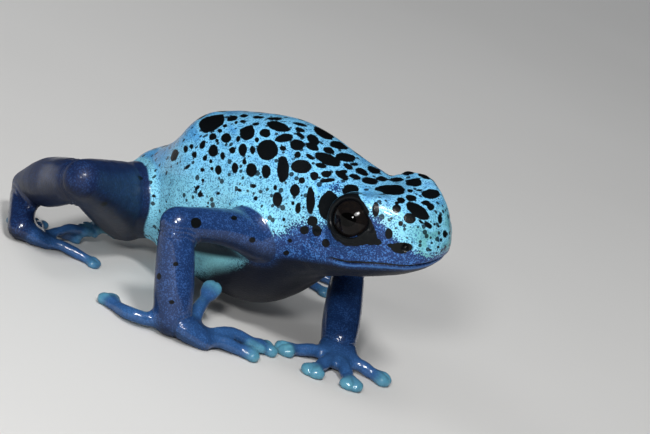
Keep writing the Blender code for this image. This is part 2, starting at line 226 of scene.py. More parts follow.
def regionOf(name):
    for word, region in (
        ("finger", "finger"), ("toe", "toe"), ("hand", "hand"), ("foot", "foot"), ("thigh", "thigh"),
        ("shank", "shank"), ("tarsus", "tarsus"), ("_upper", "upperArm"), ("_fore", "foreArm"),
        ("torso", "trunk"),
    ):
        if word in name:
            return region
    return "head"


def readOut(items, name, width, kind=np.float32):
    values = np.empty(len(items) * width, kind)
    items.foreach_get(name, values)
    return values.reshape(-1, width)


def solidOf(name):
    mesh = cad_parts[name].data
    mesh.calc_loop_triangles()
    triangles = readOut(mesh.loop_triangles, "vertices", 3, np.int32)
    points = readOut(mesh.vertices, "co", 3).astype(float) / mm
    single, index = np.unique(np.round(points, 4), axis=0, return_inverse=True)
    return single, index.reshape(-1)[triangles]


def grown(points, triangles, distance):
    corners = points[triangles]
    flat = np.cross(corners[:, 1] - corners[:, 0], corners[:, 2] - corners[:, 0])
    return points + pointNormals(points, triangles, flat) * distance


def joinedSolids(grow):
    # All the flesh as one list of points and one of triangles, with the region of each triangle.
    points, triangles, regions, count = [], [], [], 0
    for name in fleshNodes:
        own, faces = solidOf(name)
        over = "overDigitSeams" if regionOf(name) in ("finger", "toe") else "overSeams"
        points.append(grown(own, faces, skinForm[over]) if grow else own)
        triangles.append(faces + count)
        regions += [regionOf(name)] * len(faces)
        count += len(own)
    return np.concatenate(points).tolist(), np.concatenate(triangles).tolist(), regions


def fusedSkin():
    points, triangles, _ = joinedSolids(grow=True)
    mesh = bpy.data.meshes.new("grownSolids")
    mesh.from_pydata(points, [], triangles)
    thing = linked("grownSolids", mesh)
    remesh = thing.modifiers.new("fuse", "REMESH")
    remesh.mode = "VOXEL"
    remesh.voxel_size = skinForm["grain"]
    fused = bpy.data.meshes.new_from_object(thing.evaluated_get(bpy.context.evaluated_depsgraph_get()))
    bpy.data.objects.remove(thing)
    return largestPiece(fused)


def largestPiece(mesh):
    points = readOut(mesh.vertices, "co", 3).astype(float)
    edges = readOut(mesh.edges, "vertices", 2, np.int32)
    faces = readOut(mesh.loops, "vertex_index", 1, np.int32).reshape(-1, 4)
    label = np.arange(len(points))
    while True:  # each point takes the lowest label that it touches
        low = np.minimum(label[edges[:, 0]], label[edges[:, 1]])
        new = label.copy()
        np.minimum.at(new, edges[:, 0], low)
        np.minimum.at(new, edges[:, 1], low)
        new = new[new]
        if (new == label).all():
            break
        label = new
    kept = label == np.bincount(label).argmax()
    place = np.cumsum(kept) - 1
    edges = place[edges[kept[edges[:, 0]]]]
    faces = place[faces[kept[faces[:, 0]]]]
    return Surface(points[kept], faces, edges)


def nearestRegions(points):
    solidPoints, triangles, regions = joinedSolids(grow=False)
    tree = BVHTree.FromPolygons(solidPoints, triangles)
    return np.array([regions[tree.find_nearest(point)[2]] for point in points.tolist()])


skin = fusedSkin()
stage(f"solids fused, {len(skin.points)} points")
nearest = nearestRegions(skin.points)
shares = {}
for region in skinForm["shares"]:
    shares[region] = skin.blurred((nearest == region).astype(float), skinForm["blendRounds"])
bodyShare = shares["trunk"] + shares["head"]
stage("regions found")


# Places on the head, in the body's frame. All but the mouth's are on the left, and stand on both sides.
head = {
    "eye": (0.45, 4.35, -0.3),
    "eyeAxis": (0.3, 1.0, 0.28),
    "nostril": (5.9, 3.55, -2.6),
    "eardrum": (-3.1, 6.3, -2.3),
    "mouth": [(-2.4, -4.2), (-0.2, -4.6), (3.6, -4.4), (6.3, -4.85), (7.7, -4.95)],  # forward and up
}


def onSide(place, side):
    return np.array([place[0], place[1] * side, place[2]])


def aroundEye(own, side):
    # The eye's middle and axis, and how far each point is from them, in mm and degrees.
    eye = onSide(head["eye"], side)
    axis = unit(onSide(head["eyeAxis"], side))
    far = lengths(own - eye)
    return eye, axis, far, np.degrees(np.arccos(np.clip((own - eye) @ axis / far, -1, 1)))


def smoothed(share, rounds):
    return skin.blurred(skin.points, rounds, share[:, None] * skinForm["step"])


def smoothingShare():
    own = toBody(skin.points)
    share = sum(amount * shares[region] for region, amount in skinForm["shares"].items())
    for side in (1, -1):
        nearLid = 1 - smoothStep(*skinForm["lidReach"], lengths(own - onSide(head["eye"], side)))
        share = share * (1 - nearLid) + skinForm["lidShare"] * nearLid
        away = smoothStep(*skinForm["nostrilReach"], lengths(own - onSide(head["nostril"], side)))
        share = share * (skinForm["nostrilShare"] * (1 - away) + away)
    return share


def smoothSkin():
    share = smoothingShare()
    before = skin.points.copy()
    skin.points = smoothed(share, skinForm["rounds"])
    normal = skin.normals()
    lost = ((before - skin.points) * normal).sum(axis=1)
    lost = skin.blurred(lost, skinForm["restoreRounds"], share)
    digit = shares["finger"] + shares["toe"]
    growth = skinForm["overSeams"] * (1 - digit) + skinForm["overDigitSeams"] * digit
    skin.points = skin.points + normal * (lost - growth)[:, None]
    roots = bodyShare * (shares["upperArm"] + shares["thigh"])
    knuckles = (shares["hand"] + shares["foot"]) * digit
    for meeting, rounds in ((roots, skinForm["rootRounds"]), (knuckles, skinForm["knuckleRounds"])):
        wide = skin.blurred(4 * meeting, skinForm["meetingRounds"])
        skin.points = smoothed(smoothStep(*skinForm["meetingFade"], wide), rounds)


smoothSkin()
stage("skin smoothed")
fields = {}  # what the skin's material reads at each point


# The mouth: a crease between two low lips.
mouthForm = {
    "depth": 0.3,
    "width": 0.16,
    "rounding": 0.8,  # of the line's bends, to either side
    "cornerFade": (-0.2, 1.2),  # along the line, from its corner
    "headFade": (0.5, 0.9),  # it stays on the head
    "lipHeight": 0.07,
    "lipOffset": 0.36,
    "lipWidth": 0.2,
    "lowerLip": 0.7,  # of the upper one's height
}


def mouthHeight(forward):
    steps = np.linspace(-mouthForm["rounding"], mouthForm["rounding"], 5)
    return np.mean([np.interp(forward + step, *zip(*head["mouth"])) for step in steps], axis=0)


def mouthLift(own):
    use = mouthForm
    offset = own[:, 2] - mouthHeight(own[:, 0])
    inMouth = smoothStep(*use["cornerFade"], own[:, 0] - head["mouth"][0][0])
    inMouth = inMouth * smoothStep(*use["headFade"], shares["head"])
    lips = ridge(offset - use["lipOffset"], use["lipWidth"])
    lips = lips + use["lowerLip"] * ridge(offset + use["lipOffset"], use["lipWidth"])
    fields["mouthOffset"], fields["mouthShare"] = np.clip(offset, -2, 2), inMouth
    return (use["lipHeight"] * lips - use["depth"] * ridge(offset, use["width"])) * inMouth


# Lids, brows, nostrils and eardrums. Angles are in degrees from the eye's axis.
lidForm = {
    "reach": (3.3, 4.3),  # from the eye's middle, where rims and folds fade out
    "rim": 0.07,
    "rimAngle": 63.0,
    "rimSpread": 6.0,
    "fold": 0.09,
    "foldAngle": 80.0,
    "foldSpread": 6.0,
    "foldAround": 0.25,  # of the fold, where it isn't above and behind the eye
    "foldUp": (0, 1.2),
    "foldBack": (1.2, -0.6),
    "browFold": 0.6,  # of the fold
    "browFoldAngle": 97.0,
    "browFoldSpread": 4.0,
    "lineAngle": 61.5,  # a pale line along the lower lid
    "lineSpread": 2.0,
    "lineBelow": (0.4, 1.4),
    "closed": 9.0,  # by which the lower lid closes further over the ball
    "closedFrom": (100, 68),
    "closedReach": (3.0, 3.9),
    "closedBelow": (-0.2, 1.3),
}
browForm = {  # places, heights and widths
    "ridges": [((2.9, 4.2, 1.5), 0.64, 1.22), ((4.6, 3.2, 0.9), 0.2, 1.2)],  # from the eye to the snout
    "leftDrop": ((0.4, 4.6, 2.5), 0.4, 1.7),  # the left brow's top is flat
}
noseForm = {"depth": 0.4, "width": 0.26, "rim": 0.08, "rimRadius": 0.55, "rimWidth": 0.2}
drumForm = {"radius": 1.05, "groove": 0.09, "grooveWidth": 0.17, "sideways": (1, 0.6, 1)}


def closeLids():
    use = lidForm
    own = toBody(skin.points)
    for side in (1, -1):
        eye, axis, far, angle = aroundEye(own, side)
        across = own - eye - ((own - eye) @ axis)[:, None] * axis
        across /= np.maximum(lengths(across), 1e-9)[:, None]
        share = smoothStep(*use["closedFrom"], angle) * (1 - smoothStep(*use["closedReach"], far))
        share = share * smoothStep(*use["closedBelow"], eye[2] - own[:, 2])
        angle = np.radians(angle - share * use["closed"])[:, None]
        moved = eye + far[:, None] * (np.cos(angle) * axis + np.sin(angle) * across)
        own = np.where((share > 0)[:, None], moved, own)
    place, drop, width = browForm["leftDrop"]
    own[:, 2] -= drop * ridge(lengths(own - place), width)
    skin.points = toFloor(own)


def faceLift(own):
    use = lidForm
    lift, lines, pits = (np.zeros(len(own)) for _ in range(3))
    for side in (1, -1):
        eye, axis, far, angle = aroundEye(own, side)
        near = 1 - smoothStep(*use["reach"], far)
        above = smoothStep(*use["foldUp"], own[:, 2] - eye[2])
        above = above * smoothStep(*use["foldBack"], own[:, 0] - eye[0])
        fold = ridge(angle - use["foldAngle"], use["foldSpread"])
        fold = fold * (use["foldAround"] + (1 - use["foldAround"]) * above)
        fold = fold + use["browFold"] * ridge(angle - use["browFoldAngle"], use["browFoldSpread"]) * above
        rim = ridge(angle - use["rimAngle"], use["rimSpread"])
        lift += (use["rim"] * rim - use["fold"] * fold) * near
        below = smoothStep(*use["lineBelow"], eye[2] - own[:, 2])
        lines += ridge(angle - use["lineAngle"], use["lineSpread"]) * near * below
        for place, height, width in browForm["ridges"]:
            lift += height * ridge(lengths(own - onSide(place, side)), width)
        fromNostril = lengths(own - onSide(head["nostril"], side))
        pits += ridge(fromNostril, noseForm["width"])
        lift += noseForm["rim"] * ridge(fromNostril - noseForm["rimRadius"], noseForm["rimWidth"])
        fromDrum = lengths((own - onSide(head["eardrum"], side)) * drumForm["sideways"])
        lift -= drumForm["groove"] * ridge(fromDrum - drumForm["radius"], drumForm["grooveWidth"])
    fields["lidLine"], fields["nostrilPit"] = lines, pits
    return lift - noseForm["depth"] * pits


# Creases where a limb leaves the trunk and where it bends, and low lumps all over.
creaseForm = {
    "root": 0.06,
    "rootWidth": 0.7,
    "bends": [("upperArm", "foreArm"), ("foreArm", "hand"), ("thigh", "shank"), ("shank", "tarsus")],
    "bend": 0.042,
    "bendWaves": 3,
    "wrist": 0.13,
    "wristWidth": 0.22,
    "wristPlace": 0.1,  # towards the forearm
}
lumpForm = {"height": 0.05, "size": 1.9, "onLimbs": 0.4}


def limbLift():
    use = creaseForm
    lift = np.zeros(len(bodyShare))
    for limb in ("upperArm", "thigh"):
        meeting = 4 * bodyShare * shares[limb]
        lift -= use["root"] * meeting * ridge(bodyShare - shares[limb], use["rootWidth"])
    for upper, lower in use["bends"]:
        across = shares[upper] - shares[lower]
        meeting = np.minimum(1, 4 * shares[upper] * shares[lower])
        lift -= use["bend"] * meeting * np.cos(across * use["bendWaves"] * math.pi)
        if lower == "hand":
            lift -= use["wrist"] * meeting * ridge(across - use["wristPlace"], use["wristWidth"])
    return lift


def lumpLift(own):
    lumps = np.array([noise.noise(Vector(place) / lumpForm["size"]) for place in own.tolist()])
    return lumpForm["height"] * lumps * (bodyShare + lumpForm["onLimbs"] * (1 - bodyShare))


# The digits' ends widen into discs, each with a groove along its top. Lengths are from the tip.
discForm = {
    "tipDepth": 0.25,  # of the slice that gives the tip's middle
    "behind": (2.6, 1.6),  # of the one that gives the digit's direction
    "start": (-1.5, -0.8),
    "reach": (1.9, 2.5),
    "spread": 0.36,
    "firstFinger": 0.2,  # of the spread
    "groove": 0.1,
    "grooveWidth": 0.13,
    "top": (-0.1, 0.5),
    "tint": (-2.1, -0.5),  # where the disc's colour comes in
}


def digitTips():
    # Tip, direction and spread of every digit, from its solid.
    tips = []
    low, high = discForm["behind"]
    for name in fleshNodes:
        if regionOf(name) in ("finger", "toe"):
            points, _ = solidOf(name)
            far = lengths(points - nodeMiddle(name.rsplit("_", 2)[0]))
            tip = points[far > far.max() - discForm["tipDepth"]].mean(axis=0)
            behind = points[(far > far.max() - low) & (far < far.max() - high)].mean(axis=0)
            spread = discForm["firstFinger"] if name.endswith("finger_1") else 1
            tips.append((tip, unit(tip - behind), spread))
    return tips


def discLift(normal):
    use = discForm
    lift, tints = np.zeros(len(normal)), np.zeros(len(normal))
    top = smoothStep(*use["top"], normal[:, 2])
    for tip, way, spread in digitTips():
        away = skin.points - tip
        across = unit(np.cross(way, (0, 0, 1)))
        close = 1 - smoothStep(*use["reach"], lengths(away))
        tints = np.maximum(tints, smoothStep(*use["tint"], away @ way) * close)
        near = smoothStep(*use["start"], away @ way) * close
        lift -= use["groove"] * ridge(away @ across, use["grooveWidth"]) * near * top
        lift += spread * use["spread"] * near * np.abs(normal @ across)
    fields["disc"] = tints
    return lift


def addDetails():
    own, normal = toBody(skin.points), skin.normals()
    lift = mouthLift(own) + faceLift(own) + limbLift() + lumpLift(own) + discLift(normal)
    skin.points = skin.points + normal * lift[:, None]
    skin.points[:, 2] = np.maximum(skin.points[:, 2], 0)  # the pads lie on the floor


closeLids()
addDetails()
stage("creases, rims and folds added")


# The dark marks that the photograph shows: places in its frame, then width, height and, where one
# isn't level, the degrees by which it falls to the right.
marks = {
    "rump": [
        (211.7, 121.8, 25, 19, -35), (232.2, 118.4, 9.5, 7, -20), (247.2, 132.3, 13.5, 15.5),
        (226, 137.9, 9.5, 9), (212.8, 136.8, 7, 6, -30), (217, 140.4, 3.5, 3.5), (202.6, 144.6, 5, 8.5, 20),
        (213.3, 150.7, 9, 11), (194.4, 154.8, 4.5, 6), (191.7, 146.8, 3.5, 5), (185.6, 149, 4, 6),
        (174.4, 155.1, 7, 11, 20), (205, 158, 4, 5), (210.6, 161.2, 3.5, 4), (222.8, 156.2, 4.5, 8),
        (232.2, 150, 6, 6), (242.8, 149.6, 8, 11), (238, 139, 4, 5.5), (252.6, 149.8, 5, 7.5),
        (256.7, 139.8, 4, 5), (244.4, 161.8, 4, 5.5), (234.8, 167.9, 6, 10), (251.4, 170, 10, 12.5),
        (218.3, 170, 6, 8.5), (211.7, 168.7, 3, 4), (202.6, 169.8, 4, 4), (225, 125.7, 4, 4),
        (220, 130.7, 4, 4), (236, 122.3, 3, 4), (243.3, 121.4, 6, 3), (244, 115.7, 8, 3), (256, 124, 6, 2.5),
        (258, 117.3, 10, 3), (275, 118.6, 14, 3), (254, 186, 4.5, 4), (239, 190, 4.5, 3),
        (200, 194.6, 4.5, 5), (197, 188, 5, 3, -40), (218, 193.4, 4, 3), (154, 196, 4, 3),
        (187, 167, 8, 2.5, -40), (255.6, 198, 4, 4), (203, 180, 3, 3),
    ],
    "back": [
        (278.5, 126.5, 22, 8.5, 17), (265, 133, 10, 8), (267.5, 149.9, 19, 19), (284.4, 137.8, 16, 8, -10),
        (296.9, 144.9, 13, 10), (297.3, 154.9, 6, 6), (283, 148.6, 6, 5), (313, 139.5, 13, 8, 35),
        (312.5, 147, 13, 6, 20), (310, 156.8, 10, 4, 30), (323.8, 132.8, 20, 9, 28),
        (328.8, 150.5, 11, 6, 25), (339, 145.3, 18, 7, 12), (327.5, 159.3, 25, 10, 22),
        (345.5, 157.4, 19, 8, 8), (320.6, 165.5, 11, 4.5, 15), (326.5, 173.9, 9.5, 6.5),
        (327.5, 180.3, 13, 4, -8), (314.4, 176, 8, 8), (283, 169.3, 11, 24), (266.3, 171.8, 8.5, 13),
        (301.3, 166.5, 18.5, 12.5), (301.5, 180.5, 6, 6), (295, 190.3, 9, 11.5), (277.3, 199.3, 9, 13.5),
        (298, 208.6, 5.5, 9), (293, 203.3, 3, 4), (275.4, 187.8, 3.5, 5), (310.6, 200, 8, 26),
        (312.5, 221, 10, 9), (317, 231, 9, 10), (304.4, 230, 8, 8), (326, 242.8, 7.5, 8),
        (300, 130, 9, 4, 15), (300, 135, 9, 4, 35), (300, 124.3, 12, 3, 12), (342, 175.5, 14, 6, 30),
        (343.8, 171.8, 7, 4), (284, 219.6, 3, 3), (290, 240.5, 4, 4), (286, 253, 6, 5),
    ],
    "head": [
        (329, 206, 19, 26, 8), (329, 195.8, 9, 9.5), (332, 222, 8, 20, -25), (333, 225.5, 9, 14, -35),
        (337, 235.5, 13, 10, 42), (345, 241, 14, 8, 30), (351, 241.5, 17, 8, 12), (360, 241.5, 14, 7, 5),
        (350.5, 190.5, 15, 9), (350.5, 187.6, 13, 6), (336.5, 200, 20, 10, -5), (373.9, 169.6, 13, 7, 20),
        (362.2, 171.8, 12, 6, 25), (348.3, 166.7, 9, 5, 30), (355, 164.4, 6, 3), (355, 176.8, 11, 5, 15),
        (369.8, 180.9, 15, 6.5, 10), (381.7, 178.7, 11, 4.5, 10), (391, 174, 12, 4, -5),
        (396.4, 179.8, 13, 4.5, -3), (404, 172.6, 9, 2.5), (413.6, 182, 15, 12, 20), (426.4, 177.6, 8, 4),
        (391.7, 189.2, 24, 12, 10), (380, 189, 10, 4), (410, 190.7, 5, 4.5), (411, 198, 10, 6, 10),
        (401, 200, 8, 5, 20), (431, 194, 17, 9), (426, 202.8, 7, 5), (430.6, 207, 7, 7),
        (417.8, 211, 24, 11, 35), (409.4, 218.4, 11, 9.5, 20), (396.7, 208.7, 8, 8), (396.7, 203, 5, 3),
        (428.3, 225.3, 8, 5, 40), (440, 219, 4, 8), (400.8, 223.3, 4.5, 5), (388.7, 233.7, 7, 9.5),
        (401.5, 247.5, 21, 9.5), (392, 246, 10, 4, 20), (399, 250.5, 13, 5, 15), (375.6, 209.8, 6.5, 15),
        (421, 222, 6, 2.5, 35), (434.4, 224.2, 2.5, 2.5), (438.3, 226.4, 2.5, 2.5), (445, 234, 4, 7),
        (419, 190.3, 6, 2), (350.5, 193.5, 15, 12), (350, 199, 19, 13), (361.5, 205, 20, 6, 52),
        (368.5, 226, 34, 8.5, 64), (366, 235, 18, 13, 30), (367.5, 240.6, 25, 7.5, 10),
        (377.2, 241.4, 7.5, 4.5, 35), (432, 243, 3, 2.5), (438, 247, 2.5, 2.5), (430, 250, 3, 2),
        (441, 240, 2, 3), (436, 253, 3, 2),
    ],
    "limbs": [
        (196, 223, 10, 10), (234, 218, 6, 4), (252, 240, 6, 5), (176, 264, 5, 4), (159, 276, 4, 6),
        (171.5, 302, 5, 3.5), (104, 204, 6, 5), (140, 178, 6, 4),
    ],
}

markForm = {
    "swell": 1.11,  # the noise on their edges takes a little off
    "softness": 0.1,  # of the joins between them
    "lower": (0, 1.5, 3, 5),  # pixels, for a mark whose middle just misses the skin
    "depth": (1.25, 0.1),  # how far one reaches away from the camera: of its size, and more
    "lift": 0.3,  # off the skin, to ask what hides a point
    "facing": 0.1,
}

# The marks that it doesn't show: the same kinds, on the far side, in an order that stays.
furtherMarks = {
    "seed": 11,
    "smallest": 0.22,
    "sizes": (0.3, 1),  # of the largest that is allowed at each try
    "widths": (0.6, 1),  # of their lengths
    "body": {"tries": 5000, "largest": 1.15, "between": 0.34},  # the last is plain skin, at least
    "limbs": {"tries": 260, "largest": 0.45, "between": 4.08},
    "leftOf": -1.5,  # the near flank's marks are all shown
    "lowest": -2.6,  # at the shoulder, and lower behind it
    "falls": (0.35, -6, 14),  # by how much, from where, and for how long
    "mirrorFrom": 1.2,
    "mirrorSlip": 0.15,
    "mirrorWidth": 0.62,
}


def joinedFields(one, other):
    softness = markForm["softness"]
    share = np.clip(0.5 + 0.5 * (one - other) / softness, 0, 1)
    return other + (one - other) * share + softness * share * (1 - share)


def firstHit(u, v, tree):
    for lower in markForm["lower"]:
        hit = tree.ray_cast(*frameRay(u, v + lower))[0]
        if hit is not None:
            return np.array(hit)


def shownMarks(reach, tree, flat):
    # Lays the photograph's marks on the skin under them. Returns the field and the places.
    scale = camera["focal"] / np.linalg.norm(camera["place"])  # pixels to a millimetre
    share, more = markForm["depth"]
    places = []
    for group, rows in marks.items():
        for u, v, width, height, *tilt in rows:
            hit = firstHit(u, v, tree)
            if hit is None:
                continue
            width, height = width * markForm["swell"], height * markForm["swell"]
            turn = math.radians(sum(tilt))
            du, dv = flat[:, 0] - u, flat[:, 1] - v
            long = (du * math.cos(turn) + dv * math.sin(turn)) / (width / 2)
            short = (dv * math.cos(turn) - du * math.sin(turn)) / (height / 2)
            size = max(width, height) / 2 / scale
            away = lengths(skin.points - hit) / (size * share + more)
            outside = np.maximum(np.sqrt(long**2 + short**2), away)
            reach = joinedFields(reach, (1 - outside) * min(width, height) / 2 / scale)
            places.append((hit, size, group))
    return reach, places


def unseen(point, normal, tree):
    way = unit(lookFrom - point)
    if normal @ way < markForm["facing"]:
        return True
    start = point + (normal + way) * markForm["lift"]
    return tree.ray_cast(Vector(start.tolist()), Vector(way.tolist()))[0] is not None


def markOn(reach, centre, normal, long, short, turn):
    first = unit(np.cross(normal, (math.cos(turn), math.sin(turn), 0.31)))
    second = np.cross(normal, first)
    away = skin.points - centre
    outside = np.sqrt((away @ first / long) ** 2 + (away @ second / short) ** 2 + (away @ normal / long) ** 2)
    return joinedFields(reach, (1 - outside) * short)


def furtherZones(own, normal):
    # The points where the body's and the limbs' further marks may have their middles.
    slope, behind, length = furtherMarks["falls"]
    lowest = furtherMarks["lowest"] - slope * np.clip(behind - own[:, 0], 0, length)
    body = (own[:, 2] > lowest) & (bodyShare > 0.8) & (own[:, 1] > furtherMarks["leftOf"])
    limbs = shares["upperArm"] + shares["foreArm"] + shares["thigh"] + shares["shank"] > 0.9
    return {"body": np.flatnonzero(body), "limbs": np.flatnonzero(limbs & (normal[:, 2] > 0))}


def hiddenMarks(reach, places, tree, normal):
    use = furtherMarks
    random = np.random.default_rng(use["seed"])
    centres = [place for place, size, group in places]
    sizes = [size for place, size, group in places]
    for place, size, group in places:  # the face is much alike on both sides
        mirror = toBody(place) * (1, -1, 1)
        if group == "head" and abs(mirror[1]) > use["mirrorFrom"]:
            near = toFloor(mirror + random.normal(0, use["mirrorSlip"], 3))
            found, way = (np.array(part) for part in tree.find_nearest(Vector(near.tolist()))[:2])
            if unseen(found, way, tree):
                reach = markOn(reach, found, way, size, size * use["mirrorWidth"], random.uniform(0, math.pi))
                centres.append(found)
                sizes.append(size)
    for kind, zone in furtherZones(toBody(skin.points), normal).items():
        tries, largest, between = use[kind].values()
        for attempt in range(tries):
            index = zone[random.integers(len(zone))]
            share = 1 - attempt / tries
            long = use["smallest"] + (largest - use["smallest"]) * share * random.uniform(*use["sizes"])
            short = long * random.uniform(*use["widths"])
            turn = random.uniform(0, math.pi)
            clear = lengths(np.array(centres) - skin.points[index]) - np.array(sizes)
            if clear.min() < long + between or not unseen(skin.points[index], normal[index], tree):
                continue
            reach = markOn(reach, skin.points[index], normal[index], long, short, turn)
            centres.append(skin.points[index])
            sizes.append(long)
    return reach, len(centres)


def addMarks():
    tree = BVHTree.FromPolygons(skin.points.tolist(), skin.faces.tolist())
    reach = np.full(len(skin.points), -2.0)
    reach, places = shownMarks(reach, tree, inFrame(skin.points))
    reach, count = hiddenMarks(reach, places, tree, skin.normals())
    fields["markReach"] = np.clip(reach, -1.5, 1.5)
    return count


stage(f"{addMarks()} marks laid")


# Where each ground colour of the skin lies, as shares from 0 to 1.
zones = {
    "lightEdge": [
        (-34, -10.2), (-22, -9.3), (-19, -8.4), (-16, -7.0), (-14, -6.4), (-12.5, -5.8), (-10.5, -4.4),
        (-8.3, -2.2), (-7.3, -2.1), (-6.1, -1.5), (-5.0, -0.9), (-3.9, -0.7), (-2.8, -0.6), (-1.3, -0.5),
        (0.5, 0.1), (2.9, 0.9), (3.8, 0.3), (4.4, -0.3), (5.0, -1.2), (5.6, -1.9), (6.3, -2.5), (6.8, -3.3),
        (7.1, -3.8), (7.7, -4.15),
    ],
    "lightFade": 1.3,  # millimetres over which light skin turns to dark
    "plainSkin": (-15.3, 4.2, -4.6),  # without dots, behind the arm: middle, width and top
    "plainFade": (0.6, -0.6),
    "paintedArmShadow": (-5.9, -5.2, -3.6, -2.9),  # heights between which the painted shadow under the arm comes in and goes
    "paintedArmShadowWidth": 5.46,
    "paintedArmShadowShare": 1.6,
    "chinFade": (0.1, 1.0),  # below the line of the lips
    "mattFade": (0.1, 0.8),
    "browShade": ((-2.5, 3.6, 2.3), 0.62, 1.3),  # place, share and width
    "paintedSnoutHighlight": ((3.5, 4.4, 0.3), 1.0, 1.9),  # a painted highlight on the side of the snout, before the eye
    "snout": (5.6, 7.4),  # forward
    "snoutUp": (-5.0, -3.6),
    "paintedTopShade": (0.2, 0.85),  # how far the skin faces up; painted shade makes it darker and bluer there
    "paintedTopShadeRounds": 60,  # that keep it away from the limbs
    "paintedTopShadeLimbs": (0.02, 0.25),
    "kneeFrom": 0.15,
    "knee": (2.8, 4.4),  # where the thigh is wet
    # painted shade on skin that faces down: the normal's heights over which it comes in
    "paintedUnderShade": (0.1, -0.6),
    "hind": (0.3, 0.7),
    "toeDiscs": 0.5,  # less of their colour than the fingers'
    "palms": 0.5,  # of the digits' colour
}


def onBothSides(own, spot):
    place, share, width = spot
    return share * sum(ridge(lengths(own - onSide(place, side)), width) for side in (1, -1))


def kneeShine(own):
    knees = shares["thigh"] * shares["shank"] > zones["kneeFrom"]
    shine = np.zeros(len(own))
    for side in (1, -1):
        knee = skin.points[knees & (own[:, 1] * side > 0)].mean(axis=0)
        shine += 1 - smoothStep(*zones["knee"], lengths(skin.points - knee))
    return shine


def addZones():
    use, body = zones, bodyShare
    own, normal = toBody(skin.points), skin.normals()
    edge = np.interp(own[:, 0], *zip(*use["lightEdge"]))
    light = np.clip((own[:, 2] - edge) / use["lightFade"], -1, 1) / 2 + 0.5
    fields["light"] = light - onBothSides(own, use["browShade"])
    # Painted highlight: a lighter patch on each side of the snout.
    fields["paintedSnoutHighlight"] = onBothSides(own, use["paintedSnoutHighlight"])
    fields["snout"] = smoothStep(*use["snout"], own[:, 0]) * smoothStep(*use["snoutUp"], own[:, 2])
    # Painted shade: skin that faces up is darker, except close to the limbs.
    nearLimb = smoothStep(*use["paintedTopShadeLimbs"], skin.blurred(1 - body, use["paintedTopShadeRounds"]))
    fields["paintedTopShade"] = smoothStep(*use["paintedTopShade"], (normal @ axes)[:, 2]) * body * (1 - nearLimb)

    belowLips = mouthHeight(own[:, 0]) - own[:, 2]
    fields["chin"] = smoothStep(*use["chinFade"], belowLips) * body
    middle, width, top = use["plainSkin"]
    fields["plain"] = ridge(own[:, 0] - middle, width) * smoothStep(*use["plainFade"], own[:, 2] - top) * body
    # Painted shadow: the flank under the arm is darkened as the arm's shadow.
    low, lowFull, highFull, high = use["paintedArmShadow"]
    shade = smoothStep(low, lowFull, own[:, 2]) * smoothStep(high, highFull, own[:, 2])
    across = np.minimum(1, use["paintedArmShadowShare"] * ridge(own[:, 0] - middle, use["paintedArmShadowWidth"]))
    fields["paintedArmShadow"] = shade * across * body

    fields["limb"] = 1 - body
    fields["hind"] = smoothStep(*use["hind"], shares["thigh"] + shares["shank"] + shares["tarsus"])
    fields["disc"] = fields["disc"] * (1 - use["toeDiscs"] * shares["toe"])
    palms = use["palms"] * (shares["hand"] + shares["foot"])
    fields["digit"] = np.clip(shares["finger"] + shares["toe"] + palms, 0, 1)
    # Painted shade: skin that faces down is darkened; the same share also makes it matt.
    fields["paintedUnderShade"] = smoothStep(*use["paintedUnderShade"], normal[:, 2])
    matt = smoothStep(*use["mattFade"], belowLips) * body
    matt = matt + (shares["thigh"] + shares["shank"]) * (1 - kneeShine(own))
    fields["matt"] = np.maximum(np.clip(matt, 0, 1), fields["paintedUnderShade"])


addZones()


# Shaders: sums on values read as sums, and every other node comes from Shader.node.
class Wire:
    def __init__(self, shader, socket):
        self.shader, self.socket = shader, socket

    def maths(self, operation, *values):
        sockets = dict(enumerate(values))
        return self.shader.node("ShaderNodeMath", {"operation": operation}, sockets)

    def __add__(self, other):
        return self.maths("ADD", self, other)

    __radd__ = __add__

    def __mul__(self, other):
        return self.maths("MULTIPLY", self, other)

    __rmul__ = __mul__

    def __sub__(self, other):
        return self.maths("SUBTRACT", self, other)

    def __rsub__(self, other):
        return self.maths("SUBTRACT", other, self)

    def size(self):
        return self.maths("ABSOLUTE", self)

    def over(self, low, high):
        # 0 below low, 1 above high, smooth between.
        settings = {"interpolation_type": "SMOOTHSTEP"}
        return self.shader.node("ShaderNodeMapRange", settings, {"Value": self, 1: low, 2: high})


class Shader:
    def __init__(self, name):
        self.material = bpy.data.materials.new(name)
        self.material.use_nodes = True
        self.tree = self.material.node_tree
        self.tree.nodes.clear()
        self.surface = self.tree.nodes.new("ShaderNodeBsdfPrincipled")
        out = self.tree.nodes.new("ShaderNodeOutputMaterial")
        self.tree.links.new(self.surface.outputs[0], out.inputs["Surface"])

    def put(self, node, sockets):
        for key, value in sockets.items():
            if isinstance(value, Wire):
                self.tree.links.new(value.socket, node.inputs[key])
            else:
                node.inputs[key].default_value = value

    def node(self, kind, settings, sockets, out=0):
        made = self.tree.nodes.new(kind)
        for key, value in settings.items():
            setattr(made, key, value)
        self.put(made, sockets)
        return Wire(self, made.outputs[out])

    def field(self, name, out="Fac"):
        return self.node("ShaderNodeAttribute", {"attribute_name": name}, {}, out)

    def mixed(self, one, other, share, blend="MIX"):
        settings = {"data_type": "RGBA", "blend_type": blend}
        return self.node("ShaderNodeMix", settings, {0: share, 6: one, 7: other}, 2)

    def noise(self, place, scale, detail=3.0):
        return self.node("ShaderNodeTexNoise", {}, {"Vector": place, "Scale": scale, "Detail": detail})

    def cells(self, place, scale, out="Distance"):
        return self.node("ShaderNodeTexVoronoi", {}, {"Vector": place, "Scale": scale}, out)

    def bump(self, height, distance):
        return self.node("ShaderNodeBump", {}, {"Strength": 1.0, "Distance": distance * mm, "Height": height})

    def finish(self, sockets):
        self.put(self.surface, sockets)
        return self.material


def tone(red, green, blue):
    return (red, green, blue, 1.0)


